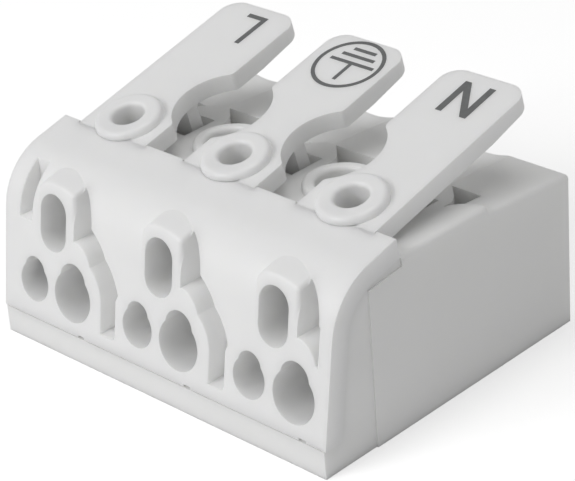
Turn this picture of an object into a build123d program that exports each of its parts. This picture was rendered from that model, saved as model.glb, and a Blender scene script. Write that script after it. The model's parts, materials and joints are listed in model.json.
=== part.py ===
from build123d import *
from math import cos, radians, sin, tan
import os

# Three-pole luminaire terminal block with release levers: line, earth and neutral.
# +X runs along the row of poles, the wires of the supply enter from -Y, the lamp's wires from +Y.
# Origin: middle pole, middle of the depth, on the underside.

# ---- Driving dimensions, millimetres and degrees ----
pole_names = ["line", "earth", "neutral"]
pole_pitch = 10.0
end_margin = 4.8            # from an outer pole's centre to the end of the body
body_depth = 23.7
deck_front_z = 11.45        # top of the base beside the screw columns
deck_rear_z = 10.85         # top of the base at the rear edge
lip_height = 1.95           # front strip of the base below the cover
seam_gap = 0.06             # joint line between cover and base

face_lean = 9.65            # the front face leans back
lever_tilt = 13.8           # the cover's top and the resting levers rise to the rear
top_plane_z = 14.49         # height of that plane over the origin
shoulder_radius = 4.5
cover_wall = 1.4
cover_rear_y = -4.7         # rear edge of the cover's top
entry_block_depth = 3.7     # thickness of the block that holds the wire funnels
cheek_wall = 1.3            # end walls of the base
panel_step = 0.12           # the side panels stand proud of the cheeks
panel_front_y = -7.28

lever_width = 6.4
lever_thick = 1.32
lever_reach = 15.2          # hinge axis to tip, along the plate
knuckle_radius = 0.45
hinge_clearance = 0.05
neck_radius = 0.5           # groove under the hinge
waist_radius = 3.45         # each lever curves round the screw columns
waist_reach = 5.4
boss_reach = 1.53           # hinge axis to the test hole
boss_radius = 2.37
boss_height = 0.53
test_hole_radius = 1.09
lip_clearance = 0.04
leg_reach = 6.0             # hinge axis to the release leg
leg_length = 3.6
leg_width = 1.6
leg_thick = 1.0
tip_radius = 1.4
waist_end_radius = 0.45
tip_bevel_reach = 11.0      # the underside thins from here to the tip
tip_bevel = 0.38
neck_drop = 0.9

screw_y = 1.1
column_radius = 2.6
column_top_z = 12.0
screw_hole_radius = 1.75

metal_thick = 0.8
landing_z = 2.3             # underside of the contact bars' lower landing
landing_gap = 0.04
strip_z = 6.4               # underside of their upper strip
bar_front_y = -7.5
riser_y = -3.0
strip_rear_y = 9.0
bar_half_width = 3.2
strip_half_width = 2.2
window_y = 2.35             # opening in the strip for the tab of the lamp spring
spring_thick = 0.3
bend_radius = 0.4
metal_gap = 0.12            # the springs lie this far from the bars
tab_top_z = 9.5

pole_wall = 1.6
chamber_top_z = 8.7
rear_wall = 1.5
plate_thick = 1.2
plate_gap = 0.08

slot_half_width = 1.2
slot_front_y = 0.4
slot_rear_y = 3.3
deck_break_y = 3.5
shelf_top_z = 11.93
probe_pocket_rear_y = -1.8
probe_pocket_width = 3.0
rear_corner_radius = 0.15
deck_rim_radius = 0.35
rear_entry_radius = 1.6     # lamp side, one round entry for each pole
rear_entry_z = 4.8
channel_radius = 5.6
channel_depth = 0.45
pocket_rear_y = 5.5
pocket_depth = 1.7

# ---- Derived places ----
pole_x = [(i - 1) * pole_pitch for i in range(len(pole_names))]
half_width = pole_x[-1] + end_margin
front_y = -body_depth / 2
rear_y = body_depth / 2
seam_z = lip_height + seam_gap
lean_rate = tan(radians(face_lean))
tilt_rate = tan(radians(lever_tilt))
tilt_sin = sin(radians(lever_tilt))
tilt_cos = cos(radians(lever_tilt))
cheek_x = half_width - panel_step
inner_x = cheek_x - cheek_wall
lean_cos = cos(radians(face_lean))
lean_sin = sin(radians(face_lean))
hinge_surface_y = cover_rear_y + 0.05
hinge_y = hinge_surface_y + knuckle_radius * tilt_sin
hinge_z = top_plane_z + tilt_rate * hinge_surface_y - knuckle_radius * tilt_cos
gap_x = [x + pole_pitch / 2 for x in pole_x[:-1]]
block_rear_y = front_y + (chamber_top_z - seam_z) * lean_rate / 2 + entry_block_depth
chamber_rear_y = rear_y - rear_wall
chamber_front_y = panel_front_y - 0.5
spring_front_y = block_rear_y + 0.25

os.makedirs("parts", exist_ok=True)


def save(part, label):
    part.label = label
    export_step(part, f"parts/{label}.step")


def face_y(z):
    """Depth of the leaning front face at a height."""
    return front_y + (z - seam_z) * lean_rate


def on_front(edge):
    """True for an edge that lies in the leaning front face."""
    return all(abs(point.Y - face_y(point.Z)) < 0.004 for point in (edge @ 0, edge @ 0.5, edge @ 1))


def section_points(inset, bottom_z, back_y):
    """Corners of the side section, moved inwards by inset from the cover's outside."""
    shift_y = inset / cos(radians(face_lean))
    shift_z = inset / tilt_cos
    start_y = face_y(seam_z) + shift_y
    top_z = top_plane_z - shift_z
    corner_y = (start_y + (top_z - seam_z) * lean_rate) / (1 - lean_rate * tilt_rate)
    corner_z = top_z + tilt_rate * corner_y
    foot_y = start_y + (bottom_z - seam_z) * lean_rate
    return [
        (foot_y, bottom_z),
        (corner_y, corner_z),
        (back_y, top_z + tilt_rate * back_y),
        (back_y + (top_z + tilt_rate * back_y - bottom_z) * tilt_rate, bottom_z),
    ]


def side_section(inset, bottom_z, back_y):
    """Face on the YZ plane bounded by the rounded section of the cover."""
    points = section_points(inset, bottom_z, back_y)
    with BuildSketch(Plane.YZ) as section:
        with BuildLine():
            Polyline(*points, close=True)
        make_face()
        corner = section.vertices().sort_by_distance(Vector(*points[1], 0))[0]
        fillet(corner, radius=shoulder_radius - inset)
    return section.sketch


def bar_through(radius, y, z, half_length, x=0.0):
    """Round bar along X."""
    with BuildPart(Plane.YZ.offset(x - half_length)) as bar:
        with Locations((y, z)):
            Cylinder(radius, 2 * half_length, align=(Align.CENTER, Align.CENTER, Align.MIN))
    return bar.part


def keyhole(low_radius, low_z, high_radius, high_z, x):
    """Two overlapping circles, the outline of a push-in entry."""
    with Locations((x, low_z)):
        Circle(low_radius)
    with Locations((x, high_z)):
        Circle(high_radius)


def broken_rim(x, z, radius):
    """Cone that breaks the sharp edge of a round entry in the front face."""
    rim_plane = Plane(origin=(x, face_y(z), z), x_dir=(1, 0, 0), z_dir=(0, -lean_cos, lean_sin))
    cone = Cone(radius - rim_break, radius + rim_break, 2 * rim_break, mode=Mode.PRIVATE)
    return cone.moved(rim_plane.location)


# ---- Front entries, measured from each pole's centre ----
small_entry_x, small_low_radius, small_low_z = -1.8, 1.36, 4.53
small_high_radius, small_high_z = 0.98, 5.3
large_entry_x, large_low_radius, large_low_z = 1.97, 1.74, 4.6
large_high_radius, large_high_z = 1.21, 5.68
slot_entry_radius, slot_entry_low_z, slot_entry_high_z = 1.24, 8.4, 9.85

# Island round each pole's entries, and the finger groove that follows it on the right
hood_left_x, hood_right_x = -1.67, 2.0
hood_foot_z, hood_top_z = 8.4, 11.8
hood_crown_radius = 5.5
hood_left_radius, hood_right_radius, hood_edge_radius = 1.2, 0.4, 0.3
arch_radius, arch_x, arch_z = 2.58, 1.13, 9.3
shelf_radius, shelf_x, shelf_z = 1.68, 1.95, 6.75
flank_radius, flank_x, flank_z = 2.74, 1.98, 4.9
entry_relief = 0.1
groove_width = 1.7
lower_groove_x, lower_groove_z = 6.06, 5.6
groove_foot_z = 2.9
groove_top_z = 12.4
groove_depth = 1.5
upper_floor_depth = 3.25    # behind the foot of the front face
rim_break = 0.12            # broken edge round the entries
groove_round = 0.1
pry_x, pry_width, pry_height = 2.88, 0.6, 0.14
end_strip = 1.05
left_groove_strip = 1.47
left_groove_foot_z = 8.7


def groove_outline(x):
    """Finger groove, seen from the front: an arch beside the hood that widens past each entry."""
    with Locations((x + arch_x, arch_z)):
        Circle(arch_radius)
    with Locations((x + arch_x + arch_radius, shelf_z)):
        Rectangle(2 * arch_radius, arch_z - shelf_z, align=(Align.MAX, Align.MIN))
    with Locations((x + shelf_x, shelf_z)):
        Circle(shelf_radius + groove_width)
    with Locations((x + flank_x, flank_z)):
        Circle(flank_radius + groove_width)
    # The lower part is narrower, it makes room for the next pole's entries
    Polygon(
        (x + lower_groove_x, groove_foot_z - 5),
        (x + lower_groove_x, lower_groove_z),
        (x + lower_groove_x + 0.9, lower_groove_z + 1.8),
        (x + lower_groove_x + 0.9, groove_foot_z - 5),
        align=None,
        mode=Mode.SUBTRACT,
    )
    # What stays standing: the island itself and everything left of it
    with Locations((x + hood_right_x, arch_z)):
        Rectangle(4.5, 20, align=(Align.MAX, Align.CENTER), mode=Mode.SUBTRACT)
    with Locations((x + shelf_x, shelf_z)):
        Circle(shelf_radius, mode=Mode.SUBTRACT)
    with Locations((x + flank_x, flank_z)):
        Circle(flank_radius, mode=Mode.SUBTRACT)
    with Locations((x + flank_x + flank_radius, flank_z)):
        Rectangle(7, 5, align=(Align.MAX, Align.MAX), mode=Mode.SUBTRACT)
    with Locations((x + flank_x, groove_foot_z)):
        Rectangle(12, 5, align=(Align.CENTER, Align.MAX), mode=Mode.SUBTRACT)


# ---- Front cover: one bent shell with the entry block behind its face ----
hood_plane = Plane(origin=(0, face_y(hood_foot_z), hood_foot_z), x_dir=(1, 0, 0),
                   z_dir=(0, -lean_cos, lean_sin))
hood_height = (hood_top_z - hood_foot_z) / lean_cos

with BuildPart() as one_hood:
    with BuildSketch(hood_plane) as arch:
        with Locations((0, hood_height - hood_crown_radius)):
            Circle(hood_crown_radius)
        with Locations(((hood_left_x + hood_right_x) / 2, 0)):
            Rectangle(hood_right_x - hood_left_x, 2 * hood_height, mode=Mode.INTERSECT)
        with Locations((0, 0)):
            Rectangle(20, 20, align=(Align.CENTER, Align.MAX), mode=Mode.SUBTRACT)
        corners = arch.vertices().group_by(Axis.Y)
        fillet(corners[-1].sort_by(Axis.X)[0], radius=hood_left_radius)
        fillet(arch.vertices().filter_by(lambda v: v.Y > 0.5).sort_by(Axis.X)[-1], radius=hood_right_radius)
    extrude(amount=6, dir=(0, tilt_cos, tilt_sin))
    front = one_hood.faces().sort_by(Axis.Y)[0]
    fillet(front.edges().filter_by(lambda e: e.center().Z > hood_foot_z + 0.2), radius=hood_edge_radius)
    with Locations((0, block_rear_y, 0)):
        Box(60, 20, 60, align=(Align.CENTER, Align.MIN, Align.CENTER), mode=Mode.SUBTRACT)

with BuildPart() as outer_stock:
    extrude(to_extrude=side_section(0, seam_z, cover_rear_y), amount=half_width, both=True)

with BuildPart() as inner_stock:
    extrude(to_extrude=side_section(cover_wall, seam_z - 0.5, cover_rear_y + 0.5), amount=half_width + 1, both=True)

with BuildPart() as entry_block:
    extrude(to_extrude=side_section(cover_wall / 2, seam_z, cover_rear_y), amount=inner_x - seam_gap, both=True)
    with Locations((0, block_rear_y, 0)):
        Box(60, 20, 60, align=(Align.CENTER, Align.MIN, Align.CENTER), mode=Mode.SUBTRACT)

with BuildPart() as groove_stock:
    with BuildSketch(Plane.XZ.offset(-front_y + 1)):
        for x in pole_x:
            groove_outline(x)
    extrude(amount=-8)
    with BuildSketch(Plane.XZ.offset(-front_y + 1)):
        with Locations((-half_width + left_groove_strip, left_groove_foot_z)):
            Rectangle(1.16, groove_top_z - left_groove_foot_z, align=(Align.MIN, Align.MIN))
    extrude(amount=-8)
    with Locations((half_width - end_strip, 0, 0)):
        Box(10, 60, 60, align=(Align.MIN, Align.CENTER, Align.CENTER), mode=Mode.SUBTRACT)

with BuildPart() as groove_floor:
    with BuildSketch(Plane.YZ.offset(-half_width)):
        with BuildLine():
            Polyline(
                (front_y - 3, 0),
                (face_y(0) + groove_depth, 0),
                (face_y(7.0) + groove_depth, 7.0),
                (front_y + upper_floor_depth, 9.2),
                (front_y + upper_floor_depth, 13),
                (front_y - 3, 13),
                close=True,
            )
        make_face()
    extrude(amount=2 * half_width)

with BuildPart() as grooves:
    add(groove_stock.part)
    add(groove_floor.part, mode=Mode.INTERSECT)

with BuildPart() as front_cover:
    add(outer_stock.part)
    add(inner_stock.part, mode=Mode.SUBTRACT)
    add(entry_block.part)
    with Locations([(x, 0, 0) for x in pole_x]):
        add(one_hood.part)
    add(grooves.part, mode=Mode.SUBTRACT)
    # Round the groove's edges in the front face, but not the hood's nor the lines where the shoulder starts
    groove_edges = [
        edge for edge in front_cover.edges(Select.LAST).filter_by(on_front)
        if (edge @ 0.5).Z > groove_foot_z - 0.01
        and (abs((edge @ 0).Z - (edge @ 1).Z) > 0.01 or (edge @ 0.5).Z < flank_z)
        and min(abs((edge @ 0.5).X - x - hood_right_x) for x in pole_x) > 0.01
    ]
    fillet(groove_edges, radius=groove_round)
    with BuildSketch(Plane.XZ.offset(-front_y + 1)) as entries:
        for x in pole_x:
            keyhole(small_low_radius, small_low_z, small_high_radius, small_high_z, x + small_entry_x)
            keyhole(large_low_radius, large_low_z, large_high_radius, large_high_z, x + large_entry_x)
            with Locations((x, (slot_entry_low_z + slot_entry_high_z) / 2)):
                SlotCenterToCenter(slot_entry_high_z - slot_entry_low_z, 2 * slot_entry_radius, rotation=90)
    extrude(amount=-8, mode=Mode.SUBTRACT)
    for x in pole_x:
        add(broken_rim(x + small_entry_x, small_low_z, small_low_radius), mode=Mode.SUBTRACT)
        add(broken_rim(x + small_entry_x, small_high_z, small_high_radius), mode=Mode.SUBTRACT)
        add(broken_rim(x + large_entry_x, large_low_z, large_low_radius), mode=Mode.SUBTRACT)
        add(broken_rim(x + large_entry_x, large_high_z, large_high_radius), mode=Mode.SUBTRACT)
        add(broken_rim(x, slot_entry_low_z, slot_entry_radius), mode=Mode.SUBTRACT)
        add(broken_rim(x, slot_entry_high_z, slot_entry_radius), mode=Mode.SUBTRACT)
        up_the_face = Plane(origin=(x, face_y(slot_entry_low_z), slot_entry_low_z), x_dir=(1, 0, 0),
                            z_dir=(0, lean_sin, lean_cos))
        inside, outside = slot_entry_radius - rim_break, slot_entry_radius + rim_break
        with BuildSketch(up_the_face):
            Polygon((-inside, rim_break), (inside, rim_break), (outside, -rim_break), (-outside, -rim_break),
                    align=None)
        extrude(amount=(slot_entry_high_z - slot_entry_low_z) / lean_cos, mode=Mode.SUBTRACT)
    # Small pry notches in the joint line
    with Locations([(x + pry_x, front_y, seam_z) for x in pole_x]):
        Box(pry_width, 0.8, 2 * pry_height, mode=Mode.SUBTRACT)
    for x in pole_x:
        add(bar_through(knuckle_radius + hinge_clearance, hinge_y, hinge_z, lever_width / 2 + 0.1, x),
            mode=Mode.SUBTRACT)
        add(bar_through(neck_radius, hinge_y + neck_drop * tilt_sin, hinge_z - neck_drop * tilt_cos,
                        lever_width / 2 + 0.35, x), mode=Mode.SUBTRACT)
save(front_cover.part, "front_cover")


# ---- Release levers ----
with BuildPart() as boss_ring:
    with BuildSketch(Plane.XZ) as rim:
        with Locations((test_hole_radius, 0)):
            Rectangle(boss_radius - test_hole_radius, boss_height - lip_clearance,
                      align=(Align.MIN, Align.MIN))
        fillet(rim.vertices().sort_by(Axis.X)[-2:].sort_by(Axis.Y)[-1], radius=0.42)
        fillet(rim.vertices().sort_by(Axis.X)[:2].sort_by(Axis.Y)[-1], radius=0.3)
    revolve(axis=Axis.Z)


def make_lever(x, waist_left, waist_right):
    """Plate with its hinge knuckle, raised test-hole ring and release leg."""
    top = knuckle_radius
    under = top - lever_thick
    plate_plane = Plane(origin=(x, hinge_y, hinge_z), x_dir=(1, 0, 0), z_dir=(0, -tilt_sin, tilt_cos))
    side_plane = Plane(origin=(x, hinge_y, hinge_z), x_dir=(0, tilt_cos, tilt_sin), z_dir=(1, 0, 0))
    with BuildPart() as lever:
        with BuildSketch(plate_plane.offset(under)) as outline:
            with Locations((0, lever_reach / 2)):
                Rectangle(lever_width, lever_reach)
            fillet(outline.vertices().group_by(Axis.Y)[-1], radius=tip_radius)
            for side, waisted in ((-1, waist_left), (1, waist_right)):
                if waisted:
                    with Locations((side * pole_pitch / 2, waist_reach)):
                        Circle(waist_radius, mode=Mode.SUBTRACT)
            waist_ends = [v for v in outline.vertices() if 1.0 < v.Y < lever_reach - 2 * tip_radius]
            if waist_ends:
                fillet(waist_ends, radius=waist_end_radius)
        extrude(amount=lever_thick)
        with BuildSketch(side_plane):
            with BuildLine():
                Polyline((tip_bevel_reach, under), (lever_reach + 1, under),
                         (lever_reach + 1, under + tip_bevel), close=True)
            make_face()
        extrude(amount=lever_width, both=True, mode=Mode.SUBTRACT)
        # Knuckle, the groove that thins the plate beside it, and the leg over the clamp
        with BuildSketch(side_plane):
            Circle(knuckle_radius)
        extrude(amount=lever_width / 2, both=True)
        with BuildSketch(side_plane):
            with Locations((0, -neck_drop)):
                Circle(neck_radius)
        extrude(amount=lever_width, both=True, mode=Mode.SUBTRACT)
        with BuildSketch(side_plane) as leg:
            with Locations((leg_reach, under + 0.2)):
                Rectangle(leg_thick, leg_length + 0.2, align=(Align.CENTER, Align.MAX))
            fillet(leg.vertices().group_by(Axis.Y)[0], radius=0.45 * leg_thick)
        extrude(amount=leg_width / 2, both=True)
        # Ring round the test hole: its front lip overhangs the cover and rests on it
        with BuildSketch(plate_plane.offset(top - 0.3)):
            with Locations((0, boss_reach)):
                Circle(boss_radius)
            Rectangle(20, 20, align=(Align.CENTER, Align.MAX), mode=Mode.SUBTRACT)
        extrude(amount=0.3 + lip_clearance)
        add(boss_ring.part.moved(plate_plane.location * Location((0, boss_reach, top + lip_clearance))))
        with BuildSketch(plate_plane.offset(under - 1)):
            with Locations((0, boss_reach)):
                Circle(test_hole_radius)
        extrude(amount=lever_thick + 1 + lip_clearance, mode=Mode.SUBTRACT)
    return lever.part


for index, name in enumerate(pole_names):
    first, last = index == 0, index == len(pole_names) - 1
    save(make_lever(pole_x[index], not first, not last), f"{name}_lever")


# ---- Base housing ----
def chamber_span(x):
    """Left and right walls of one pole's chamber."""
    half = (pole_pitch - pole_wall) / 2
    return max(x - half, -inner_x), min(x + half, inner_x)


with BuildPart() as side_walls:
    extrude(to_extrude=side_section(cover_wall + seam_gap, 0, cover_rear_y + 0.3), amount=cheek_x, both=True)
    Box(2 * inner_x, 80, 80, mode=Mode.SUBTRACT)

with BuildPart() as rear_block:
    with BuildSketch(Plane.YZ):
        with BuildLine():
            Polyline(
                (panel_front_y, 0),
                (rear_y, 0),
                (rear_y, deck_rear_z),
                (deck_break_y, deck_front_z),
                (cover_rear_y + 2.2, deck_front_z),
                (panel_front_y, deck_front_z - 0.5),
                close=True,
            )
        make_face()
    extrude(amount=half_width, both=True)
    fillet(rear_block.edges().filter_by(Axis.Z).group_by(Axis.Y)[-1], radius=rear_corner_radius)
    rear_rim = rear_block.faces().sort_by(Axis.Y)[-1].edges().sort_by(Axis.Z)[-1]
    fillet(rear_rim, radius=deck_rim_radius)

deck_slope = (deck_front_z - deck_rear_z) / (rear_y - deck_break_y)
channel_start_z = deck_front_z - (pocket_rear_y - deck_break_y) * deck_slope
channel_plane = Plane(origin=(0, pocket_rear_y, channel_start_z), x_dir=(1, 0, 0), z_dir=(0, -1, deck_slope))


def pocket_points(x, reach, side):
    """Half of the hollow beside and behind a screw column, measured from a pole's centre."""
    corners = [(0.4, pocket_rear_y), (1.5, 4.4), (2.0, 3.6), (2.0, screw_y), (reach, screw_y),
               (reach, pocket_rear_y)]
    return [(x + side * across, y) for across, y in corners]


with BuildPart() as base_housing:
    add(rear_block.part)
    add(side_walls.part)
    with Locations((0, front_y, 0)):
        Box(2 * cheek_x, panel_front_y - front_y, lip_height, align=(Align.CENTER, Align.MIN, Align.MIN))
    # One chamber for each pole, with an open strip above it under the cover and the hinge
    for x in pole_x:
        left, right = chamber_span(x)
        with Locations(((left + right) / 2, chamber_front_y, -1)):
            Box(right - left, chamber_rear_y - chamber_front_y, chamber_top_z + 1,
                align=(Align.CENTER, Align.MIN, Align.MIN), mode=Mode.SUBTRACT)
            Box(right - left, cover_rear_y - 0.6 - chamber_front_y, 20,
                align=(Align.CENTER, Align.MIN, Align.MIN), mode=Mode.SUBTRACT)
        with Locations((x, chamber_front_y, chamber_top_z - 0.5)):
            Box(probe_pocket_width, probe_pocket_rear_y - chamber_front_y, 20,
                align=(Align.CENTER, Align.MIN, Align.MIN), mode=Mode.SUBTRACT)
    with Locations((0, chamber_front_y, plate_thick + 0.05)):
        Box(2 * inner_x, chamber_rear_y - chamber_front_y, 5,
            align=(Align.CENTER, Align.MIN, Align.MAX), mode=Mode.SUBTRACT)
    # Room for the last large entry, which reaches past the inside of the end wall
    with BuildSketch(Plane.XZ.offset(-front_y + 1)):
        for x in pole_x:
            with Locations((x + large_entry_x, large_low_z - large_low_radius - entry_relief)):
                Rectangle(2 * (large_low_radius + entry_relief),
                          large_high_z + large_high_radius - large_low_z + large_low_radius + 2 * entry_relief,
                          align=(Align.CENTER, Align.MIN))
    extrude(amount=front_y - 1 - block_rear_y - 2.5, mode=Mode.SUBTRACT)
    # Shelves at both ends, level with the screw columns
    for side in (-1, 1):
        with BuildSketch(Plane.XY.offset(chamber_top_z)) as shelf:
            with Locations((side * 1.5 * pole_pitch, screw_y)):
                Circle(column_radius)
                Rectangle(2 * column_radius, screw_y - cover_rear_y - 0.45, align=(Align.CENTER, Align.MAX))
            Rectangle(2 * half_width, 80, mode=Mode.INTERSECT)
        extrude(amount=shelf_top_z - chamber_top_z)
    shelf_rims = base_housing.edges().filter_by(
        lambda e: abs(e.center().Z - shelf_top_z) < 0.01 and abs(e.center().X) > half_width - 0.05)
    fillet(shelf_rims, radius=0.4)
    # Hollows round the columns, the leg slots and a shallow channel behind each lever
    for x in pole_x:
        for side in (-1, 1):
            at_end = abs(x + side * pole_pitch) > half_width
            with BuildSketch(Plane.XY.offset(deck_front_z - pocket_depth)):
                with BuildLine():
                    Polyline(*pocket_points(x, 2.8 if at_end else pole_pitch / 2, side), close=True)
                make_face()
            extrude(amount=pocket_depth + 0.2, mode=Mode.SUBTRACT)
        with BuildSketch(Plane.XY.offset(chamber_top_z - 1)):
            with Locations((x, slot_front_y)):
                Rectangle(2 * slot_half_width, slot_rear_y - slot_front_y, align=(Align.CENTER, Align.MIN))
        extrude(amount=10, mode=Mode.SUBTRACT)
        with BuildSketch(channel_plane):
            with Locations((x - 2.1, channel_radius - channel_depth)):
                Circle(channel_radius)
        extrude(amount=-30, mode=Mode.SUBTRACT)
        with BuildSketch(Plane.XZ.offset(-rear_y - 1)):
            with Locations((x, rear_entry_z)):
                Circle(rear_entry_radius)
        extrude(amount=rear_wall + 2, mode=Mode.SUBTRACT)
        with Locations(Plane.XZ.offset(-rear_y) * Location((x, rear_entry_z, 0))):
            Cone(rear_entry_radius + 0.6, rear_entry_radius - 0.1, 0.7,
                 align=(Align.CENTER, Align.CENTER, Align.MIN), mode=Mode.SUBTRACT)
    # Screw columns between the poles
    for x in gap_x:
        with BuildSketch(Plane.XY):
            with Locations((x, screw_y)):
                Circle(column_radius)
        extrude(amount=column_top_z)
        with BuildSketch(Plane.XY.offset(-1)):
            with Locations((x, screw_y)):
                Circle(screw_hole_radius)
        extrude(amount=20, mode=Mode.SUBTRACT)
    column_rims = base_housing.edges().filter_by(GeomType.CIRCLE).filter_by(
        lambda e: abs(e.center().Z - column_top_z) < 0.01)
    fillet(column_rims, radius=min(0.3, 0.4 * (column_radius - screw_hole_radius)))
save(base_housing.part, "base_housing")

# ---- Bottom plate: closes the chambers and carries the contact bars on three ribs ----
with BuildPart() as bottom_plate:
    with Locations((0, chamber_front_y + plate_gap, 0)):
        Box(2 * (inner_x - plate_gap), chamber_rear_y - chamber_front_y - 2 * plate_gap, plate_thick,
            align=(Align.CENTER, Align.MIN, Align.MIN))
    with Locations(*[(x, -6.8, 0) for x in pole_x]):
        Box(5.0, 3.2, landing_z - landing_gap, align=(Align.CENTER, Align.MIN, Align.MIN))
    with BuildSketch(Plane.XY.offset(-1)):
        with Locations(*[(x, screw_y) for x in gap_x]):
            Circle(column_radius + plate_gap)
    extrude(amount=10, mode=Mode.SUBTRACT)
save(bottom_plate.part, "bottom_plate")


# ---- Contact bars: lower landing for the supply wires, riser, upper strip to the lamp side ----
def make_contact_bar(x):
    with BuildPart() as bar:
        with BuildSketch(Plane.YZ.offset(x)):
            with BuildLine():
                FilletPolyline((bar_front_y, landing_z + metal_thick / 2), (riser_y, landing_z + metal_thick / 2),
                               (riser_y, strip_z + metal_thick / 2), (riser_y + 2.0, strip_z + metal_thick / 2),
                               radius=0.7)
            trace(line_width=metal_thick)
        extrude(amount=bar_half_width, both=True)
        with Locations((x, bar_front_y, strip_z)):
            Box(2 * bar_half_width, riser_y + 2.0 - bar_front_y, metal_thick,
                align=(Align.CENTER, Align.MIN, Align.MIN))
        with Locations((x, riser_y + 1.0, strip_z)):
            Box(2 * strip_half_width, strip_rear_y - riser_y - 1.0, metal_thick,
                align=(Align.CENTER, Align.MIN, Align.MIN))
        with BuildSketch(Plane.XY.offset(strip_z - 1)):
            with Locations((x, window_y)):
                RectangleRounded(2.2, 1.9, 0.3)
        extrude(amount=3, mode=Mode.SUBTRACT)
    return bar.part


# ---- Clamping springs: bent strips of spring steel ----
def bent_strip(points, width, x):
    """Strip of constant thickness that follows the points in its side view."""
    with BuildPart() as strip:
        with BuildSketch(Plane.YZ.offset(x)):
            with BuildLine():
                FilletPolyline(*points, radius=bend_radius)
            trace(line_width=spring_thick)
        extrude(amount=width / 2, both=True)
    return strip.part


low_leg_z = strip_z - metal_gap - spring_thick / 2
low_spring_path = [(-4.0, low_leg_z), (spring_front_y, low_leg_z), (spring_front_y, 5.1),
                   (riser_y - 0.85, landing_z + metal_thick + metal_gap + spring_thick)]
high_spring_path = [(-4.0, 10.35), (spring_front_y, 10.35), (spring_front_y, 9.2),
                    (-4.1, strip_z + metal_thick + metal_gap + spring_thick)]
lamp_blade_path = [(4.4, 1.9), (9.2, 1.9), (9.2, 3.0), (3.9, low_leg_z - 0.2), (3.0, low_leg_z - 0.2)]
lamp_tab_path = [(3.6, low_leg_z - 0.2), (window_y, low_leg_z - 0.2), (window_y, tab_top_z), (1.3, tab_top_z)]

for x, name in zip(pole_x, pole_names):
    save(make_contact_bar(x), f"{name}_contact_bar")
    save(bent_strip(low_spring_path, 2.0, x + small_entry_x), f"{name}_small_entry_spring")
    save(bent_strip(low_spring_path, 2.5, x + large_entry_x - 0.1), f"{name}_large_entry_spring")
    save(bent_strip(high_spring_path, 2.2, x), f"{name}_upper_entry_spring")
    with BuildPart() as lamp_spring:
        add(bent_strip(lamp_blade_path, 3.2, x))
        add(bent_strip(lamp_tab_path, 1.4, x))
    save(lamp_spring.part, f"{name}_lamp_spring")
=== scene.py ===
import json
from math import cos, radians, sin

import bmesh
import bpy
from mathutils import Matrix, Vector


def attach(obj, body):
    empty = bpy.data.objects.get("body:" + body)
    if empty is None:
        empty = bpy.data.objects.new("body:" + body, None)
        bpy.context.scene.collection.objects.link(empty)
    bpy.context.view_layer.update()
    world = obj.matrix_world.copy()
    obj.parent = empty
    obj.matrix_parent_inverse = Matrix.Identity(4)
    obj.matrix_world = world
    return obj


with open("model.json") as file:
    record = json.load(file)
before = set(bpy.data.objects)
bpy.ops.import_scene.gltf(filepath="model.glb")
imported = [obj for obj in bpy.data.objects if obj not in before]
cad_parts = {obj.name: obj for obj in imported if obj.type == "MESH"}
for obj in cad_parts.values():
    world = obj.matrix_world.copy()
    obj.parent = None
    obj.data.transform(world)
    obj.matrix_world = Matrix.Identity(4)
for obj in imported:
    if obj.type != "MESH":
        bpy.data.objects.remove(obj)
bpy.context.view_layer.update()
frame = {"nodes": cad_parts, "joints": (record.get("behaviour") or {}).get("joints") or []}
nodes = frame["nodes"]
hinges = {joint["child"]: joint for joint in frame["joints"]}
poles = ("line", "earth", "neutral")
mm = 0.001


# ---- Camera: a long lens a short way above the bench, turned to the supply side ----
# The block is seen over its front right corner, so the entries, the levers and one end show.
view_azimuth = radians(45.966)
view_elevation = radians(28.140)
view_roll = radians(-4.586)
aim = Vector((0, 0, 8)) * mm
aim_across, aim_up, aim_distance = -0.632 * mm, 1.390 * mm, 149.492 * mm

towards_camera = Vector((sin(view_azimuth) * cos(view_elevation),
                         -cos(view_azimuth) * cos(view_elevation), sin(view_elevation)))
level_right = (-towards_camera).cross(Vector((0, 0, 1))).normalized()
level_up = level_right.cross(-towards_camera)
camera_right = cos(view_roll) * level_right + sin(view_roll) * level_up
camera_up = -sin(view_roll) * level_right + cos(view_roll) * level_up
camera_data = bpy.data.cameras.new("camera")
camera_data.lens = 143.04
camera_data.sensor_width = 36
camera_data.clip_start = 10 * mm
camera_data.clip_end = 10
camera = bpy.data.objects.new("camera", camera_data)
camera_place = aim - aim_across * camera_right - aim_up * camera_up + aim_distance * towards_camera
turn = Matrix((camera_right, camera_up, towards_camera)).transposed().to_4x4()
camera.matrix_world = Matrix.Translation(camera_place) @ turn
bpy.context.scene.collection.objects.link(camera)
bpy.context.scene.camera = camera
bpy.context.scene.view_settings.view_transform = "Standard"


# ---- Studio: a pale bench under two softboxes ----
# A box stands in front of the block on the supply side and a wider one hangs over it.
# A white surround fills the shadows, and the bench is lit up to paper white for the camera.
def softbox(name, direction, distance, size, power):
    light = bpy.data.lights.new(name, "AREA")
    light.shape = "DISK"
    light.size = size
    light.energy = power
    holder = bpy.data.objects.new(name, light)
    place = Vector(direction).normalized() * distance + aim
    holder.location = place
    holder.rotation_euler = (aim - place).to_track_quat("-Z", "Y").to_euler()
    bpy.context.scene.collection.objects.link(holder)


softbox("front_softbox", (-0.25, -0.80, 0.55), 0.40, 0.22, 0.635)
softbox("top_softbox", (0.05, 0.10, 1.0), 0.45, 0.30, 0.45)

surround_strength = 0.30
world = bpy.data.worlds.new("studio")
world.use_nodes = True
world.node_tree.nodes["Background"].inputs["Color"].default_value = (1.0, 1.0, 1.0, 1.0)
world.node_tree.nodes["Background"].inputs["Strength"].default_value = surround_strength
bpy.context.scene.world = world

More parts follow.
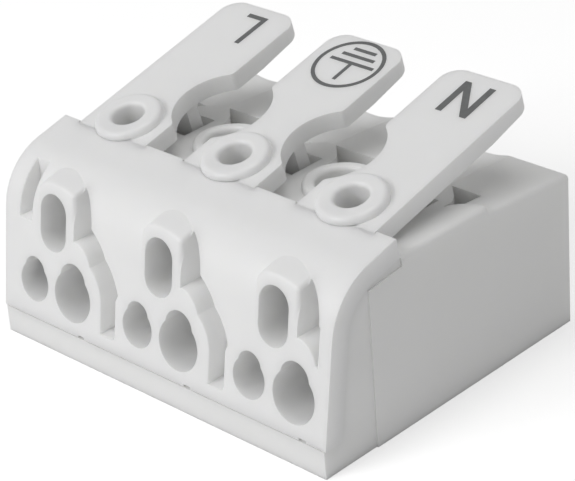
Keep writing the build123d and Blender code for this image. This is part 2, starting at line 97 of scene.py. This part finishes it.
bench_half_size = 3.0
paper_lift = 0.38      # brings the lit bench up to paper white
floor_mesh = bpy.data.meshes.new("bench")
bm = bmesh.new()
bmesh.ops.create_grid(bm, x_segments=1, y_segments=1, size=bench_half_size)
bm.to_mesh(floor_mesh)
bm.free()
floor = bpy.data.objects.new("bench", floor_mesh)
bpy.context.scene.collection.objects.link(floor)
bench = bpy.data.materials.new("pale_bench")
bench.use_nodes = True
bench_shader = bench.node_tree.nodes["Principled BSDF"]
bench_shader.inputs["Base Color"].default_value = (0.92, 0.92, 0.92, 1)
bench_shader.inputs["Roughness"].default_value = 0.9
bench_shader.inputs["Specular IOR Level"].default_value = 0.0
bench_shader.inputs["Emission Color"].default_value = (1, 1, 1, 1)
seen = bench.node_tree.nodes.new("ShaderNodeLightPath")
lift = bench.node_tree.nodes.new("ShaderNodeMath")
lift.operation = "MULTIPLY"
lift.inputs[1].default_value = paper_lift
bench.node_tree.links.new(seen.outputs["Is Camera Ray"], lift.inputs[0])
bench.node_tree.links.new(lift.outputs[0], bench_shader.inputs["Emission Strength"])
floor_mesh.materials.append(bench)


# ---- Housing, bottom plate and cover: white polyamide, injection moulded ----
# The tool leaves a fine spark-eroded grain, faint flow lines and slightly uneven gloss.
# The cover is clipped onto the housing, the plate is pressed in from below.
def moulded_grain():
    group = bpy.data.node_groups.new("moulded_grain", "ShaderNodeTree")
    face = group.interface
    for name, value in (("Grain Size", 0.09), ("Flow Size", 6.0), ("Offset", 0.0)):
        socket = face.new_socket(name, in_out="INPUT", socket_type="NodeSocketFloat")
        socket.default_value = value
    for name in ("Height", "Shade", "Gloss"):
        face.new_socket(name, in_out="OUTPUT", socket_type="NodeSocketFloat")
    make, link = group.nodes.new, group.links.new
    start = make("NodeGroupInput")
    end = make("NodeGroupOutput")
    place = make("ShaderNodeTexCoord")
    moved = make("ShaderNodeVectorMath")
    moved.operation = "ADD"
    link(place.outputs["Object"], moved.inputs[0])
    link(start.outputs["Offset"], moved.inputs[1])

    def per_metre(size):
        node = make("ShaderNodeMath")
        node.operation = "DIVIDE"
        node.inputs[0].default_value = 1000.0
        link(size, node.inputs[1])
        return node.outputs[0]

    grain = make("ShaderNodeTexNoise")
    grain.inputs["Detail"].default_value = 2.0
    link(moved.outputs[0], grain.inputs["Vector"])
    link(per_metre(start.outputs["Grain Size"]), grain.inputs["Scale"])
    flow = make("ShaderNodeTexNoise")
    flow.inputs["Detail"].default_value = 3.0
    flow.inputs["Distortion"].default_value = 0.8
    link(moved.outputs[0], flow.inputs["Vector"])
    link(per_metre(start.outputs["Flow Size"]), flow.inputs["Scale"])
    link(grain.outputs["Fac"], end.inputs["Height"])
    link(flow.outputs["Fac"], end.inputs["Shade"])
    mixed = make("ShaderNodeMath")
    mixed.operation = "MULTIPLY"
    link(grain.outputs["Fac"], mixed.inputs[0])
    link(flow.outputs["Fac"], mixed.inputs[1])
    link(mixed.outputs[0], end.inputs["Gloss"])
    return group


grain_group = moulded_grain()


def plastic(name, light_colour, dark_colour, roughness, offset, grain_depth=0.004):
    """Satin moulded plastic: two close whites, uneven gloss and a fine grain."""
    material = bpy.data.materials.new(name)
    material.use_nodes = True
    tree = material.node_tree
    make, link = tree.nodes.new, tree.links.new
    shader = tree.nodes["Principled BSDF"]
    shader.inputs["IOR"].default_value = 1.5
    # Polyamide lets a little light through, which fills its corners
    shader.inputs["Subsurface Weight"].default_value = 0.5
    shader.inputs["Subsurface Radius"].default_value = (1.0, 1.0, 0.95)
    shader.inputs["Subsurface Scale"].default_value = 1.2 * mm
    surface = make("ShaderNodeGroup")
    surface.node_tree = grain_group
    surface.inputs["Offset"].default_value = offset
    colour = make("ShaderNodeMix")
    colour.data_type = "RGBA"
    colour.inputs["A"].default_value = (*dark_colour, 1)
    colour.inputs["B"].default_value = (*light_colour, 1)
    link(surface.outputs["Shade"], colour.inputs["Factor"])
    link(colour.outputs["Result"], shader.inputs["Base Color"])
    gloss = make("ShaderNodeMapRange")
    gloss.inputs["From Min"].default_value = 0.1
    gloss.inputs["From Max"].default_value = 0.45
    gloss.inputs["To Min"].default_value = roughness - 0.05
    gloss.inputs["To Max"].default_value = roughness + 0.07
    link(surface.outputs["Gloss"], gloss.inputs["Value"])
    link(gloss.outputs["Result"], shader.inputs["Roughness"])
    bump = make("ShaderNodeBump")
    bump.inputs["Strength"].default_value = 0.35
    bump.inputs["Distance"].default_value = grain_depth * mm
    link(surface.outputs["Height"], bump.inputs["Height"])
    link(bump.outputs["Normal"], shader.inputs["Normal"])
    return material


def finish_node(node, material):
    mesh = nodes[node].data
    mesh.materials.clear()
    mesh.materials.append(material)


finish_node("base_housing", plastic("housing_white", (0.935, 0.935, 0.925), (0.905, 0.905, 0.895), 0.42, 0.0))
finish_node("bottom_plate", plastic("plate_white", (0.90, 0.90, 0.89), (0.86, 0.86, 0.85), 0.48, 0.3))
finish_node("front_cover", plastic("cover_white", (0.955, 0.955, 0.95), (0.93, 0.93, 0.925), 0.36, 0.7))


# ---- Release levers: the same polyamide, one moulding with the cover ----
# Their tops are polished in the tool, so they are a little glossier than the rest.
lever_white = plastic("lever_white", (0.955, 0.955, 0.95), (0.93, 0.93, 0.925), 0.33, 1.1)
for pole in poles:
    finish_node(f"{pole}_lever", lever_white)


# ---- Terminal marks: grey ink pad-printed on the lever tips ----
# A film a few hundredths of a millimetre thick: the line letter, the earth sign, the neutral letter.
# They are read from the lamp side, so the letters' feet point to the tip of the lever.
lever_top = 0.45           # upper face of a lever, above its hinge axis
ink_thickness = 0.025
ink_overlap = 0.008        # the film's underside sits this far in the plastic


def on_lever(pole):
    """Place of a lever's upper face: X across, Y along the lever, Z out of it, in millimetres."""
    hinge = hinges[f"{pole}_lever"]
    tilt = radians(-hinge["range_deg"][0])
    place = Matrix.Translation(Vector(hinge["pos_m"]) / mm) @ Matrix.Rotation(tilt, 4, "X")
    return Matrix.Scale(mm, 4) @ place @ Matrix.Translation((0, 0, lever_top - ink_overlap))


def ink_material():
    material = bpy.data.materials.new("grey_ink")
    material.use_nodes = True
    tree = material.node_tree
    make, link = tree.nodes.new, tree.links.new
    shader = tree.nodes["Principled BSDF"]
    surface = make("ShaderNodeGroup")
    surface.node_tree = grain_group
    surface.inputs["Grain Size"].default_value = 0.14
    surface.inputs["Flow Size"].default_value = 0.5
    colour = make("ShaderNodeMix")
    colour.data_type = "RGBA"
    colour.inputs["A"].default_value = (0.125, 0.13, 0.13, 1)
    colour.inputs["B"].default_value = (0.19, 0.195, 0.195, 1)
    link(surface.outputs["Shade"], colour.inputs["Factor"])
    link(colour.outputs["Result"], shader.inputs["Base Color"])
    shader.inputs["Roughness"].default_value = 0.5
    bump = make("ShaderNodeBump")
    bump.inputs["Strength"].default_value = 0.3
    bump.inputs["Distance"].default_value = 0.004 * mm
    link(surface.outputs["Height"], bump.inputs["Height"])
    link(bump.outputs["Normal"], shader.inputs["Normal"])
    return material


grey_ink = ink_material()


def add_outline(bm, points):
    """A closed flat shape, pulled up to the ink's thickness."""
    ring = [bm.verts.new((x, y, 0)) for x, y in points]
    flat = bm.faces.new(ring)
    pulled = bmesh.ops.extrude_face_region(bm, geom=[flat])
    top = [v for v in pulled["geom"] if isinstance(v, bmesh.types.BMVert)]
    bmesh.ops.translate(bm, verts=top, vec=(0, 0, ink_thickness))


def add_ring(bm, x, y, outer, inner, steps=96):
    loops = []
    for radius in (outer, inner):
        made = bmesh.ops.create_circle(bm, cap_ends=False, segments=steps, radius=radius,
                                       matrix=Matrix.Translation((x, y, 0)))
        loops += [e for v in made["verts"] for e in v.link_edges]
    bridged = bmesh.ops.bridge_loops(bm, edges=list(dict.fromkeys(loops)))
    pulled = bmesh.ops.extrude_face_region(bm, geom=bridged["faces"])
    top = [v for v in pulled["geom"] if isinstance(v, bmesh.types.BMVert)]
    bmesh.ops.translate(bm, verts=top, vec=(0, 0, ink_thickness))


def bar_points(x0, x1, y0, y1):
    return [(x0, y0), (x1, y0), (x1, y1), (x0, y1)]


def place_mark(pole, bm):
    bmesh.ops.recalc_face_normals(bm, faces=bm.faces)
    bmesh.ops.transform(bm, matrix=on_lever(pole), verts=bm.verts)
    mesh = bpy.data.meshes.new(f"{pole}_mark")
    bm.to_mesh(mesh)
    bm.free()
    mesh.materials.append(grey_ink)
    mark = bpy.data.objects.new(f"{pole}_mark", mesh)
    bpy.context.scene.collection.objects.link(mark)
    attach(mark, f"{pole}_lever")


# Line letter: a stem along the lever, and a foot across it at the end nearer the tip
line_near, line_far = 11.22, 14.32
line_foot_end, line_foot_stroke = -0.69, 0.37
line_stem_near, line_stem_far, line_stem_stroke = 0.62, 0.66, 0.40
line_inner = line_far - line_foot_stroke
line_mark = bmesh.new()
add_outline(line_mark, [
    (line_foot_end, line_inner),
    (line_stem_far, line_inner),
    (line_stem_near, line_near),
    (line_stem_near + line_stem_stroke, line_near),
    (line_stem_far + line_stem_stroke, line_far),
    (line_foot_end, line_far),
])
place_mark("line", line_mark)

# Earth sign: three bars that grow shorter towards the tip, and a stem, in a ring
earth_stroke = 0.28
ring_x, ring_y, ring_radius = 0.07, 12.51, 2.55
stem_left, stem_near = 0.06, 10.80
long_bar, middle_bar, short_bar = (-1.65, 2.07, 12.55), (-1.21, 1.57, 13.26), (-0.73, 1.18, 13.94)
earth_mark = bmesh.new()
add_ring(earth_mark, ring_x, ring_y, ring_radius, ring_radius - earth_stroke)
bar_left, bar_right, bar_near = long_bar
add_outline(earth_mark, [
    (bar_left, bar_near + earth_stroke),
    (bar_left, bar_near),
    (stem_left, bar_near),
    (stem_left, stem_near),
    (stem_left + earth_stroke, stem_near),
    (stem_left + earth_stroke, bar_near),
    (bar_right, bar_near),
    (bar_right, bar_near + earth_stroke),
])
for bar_left, bar_right, bar_near in (middle_bar, short_bar):
    add_outline(earth_mark, bar_points(bar_left, bar_right, bar_near, bar_near + earth_stroke))
place_mark("earth", earth_mark)

# Neutral letter: two stems and the diagonal between them
neutral_left, neutral_right = -1.28, 1.18
neutral_near, neutral_far = 11.05, 14.26
neutral_stroke, diagonal_drop = 0.48, 2.31
neutral_inner_left = neutral_left + neutral_stroke
neutral_inner_right = neutral_right - neutral_stroke
diagonal_start = neutral_far - diagonal_drop
diagonal_end = neutral_near + diagonal_drop
neutral_mark = bmesh.new()
add_outline(neutral_mark, [
    (neutral_left, neutral_near),
    (neutral_left, neutral_far),
    (neutral_inner_left, neutral_far),
    (neutral_inner_right, diagonal_start),
    (neutral_inner_right, neutral_far),
    (neutral_right, neutral_far),
    (neutral_right, neutral_near),
    (neutral_inner_right, neutral_near),
    (neutral_inner_left, diagonal_end),
    (neutral_inner_left, neutral_near),
])
place_mark("neutral", neutral_mark)


# ---- Contact bars: copper strip, bent and dull tinned ----
# One bar lies in each chamber on the ribs of the bottom plate, and all the pole's wires press on it.
# The tin is matt and a little cloudy.
def metal(name, light_colour, dark_colour, roughness, grain_size):
    material = bpy.data.materials.new(name)
    material.use_nodes = True
    tree = material.node_tree
    make, link = tree.nodes.new, tree.links.new
    shader = tree.nodes["Principled BSDF"]
    shader.inputs["Metallic"].default_value = 1.0
    surface = make("ShaderNodeGroup")
    surface.node_tree = grain_group
    surface.inputs["Grain Size"].default_value = grain_size
    surface.inputs["Flow Size"].default_value = 1.5
    colour = make("ShaderNodeMix")
    colour.data_type = "RGBA"
    colour.inputs["A"].default_value = (*dark_colour, 1)
    colour.inputs["B"].default_value = (*light_colour, 1)
    link(surface.outputs["Shade"], colour.inputs["Factor"])
    link(colour.outputs["Result"], shader.inputs["Base Color"])
    gloss = make("ShaderNodeMapRange")
    gloss.inputs["To Min"].default_value = roughness - 0.08
    gloss.inputs["To Max"].default_value = roughness + 0.12
    link(surface.outputs["Height"], gloss.inputs["Value"])
    link(gloss.outputs["Result"], shader.inputs["Roughness"])
    bump = make("ShaderNodeBump")
    bump.inputs["Strength"].default_value = 0.3
    bump.inputs["Distance"].default_value = 0.003 * mm
    link(surface.outputs["Height"], bump.inputs["Height"])
    link(bump.outputs["Normal"], shader.inputs["Normal"])
    return material


tinned_copper = metal("tinned_copper", (0.78, 0.77, 0.74), (0.66, 0.64, 0.60), 0.34, 0.10)
for pole in poles:
    finish_node(f"{pole}_contact_bar", tinned_copper)


# ---- Clamping springs: rolled spring steel, bent cold ----
# Each wire entry has its own leaf behind it, held between the housing and the bar.
# The lever's leg presses the tab of the lamp spring.
spring_steel = metal("spring_steel", (0.66, 0.66, 0.67), (0.52, 0.52, 0.54), 0.24, 0.05)
for pole in poles:
    for spring in ("small_entry", "large_entry", "upper_entry", "lamp"):
        finish_node(f"{pole}_{spring}_spring", spring_steel)
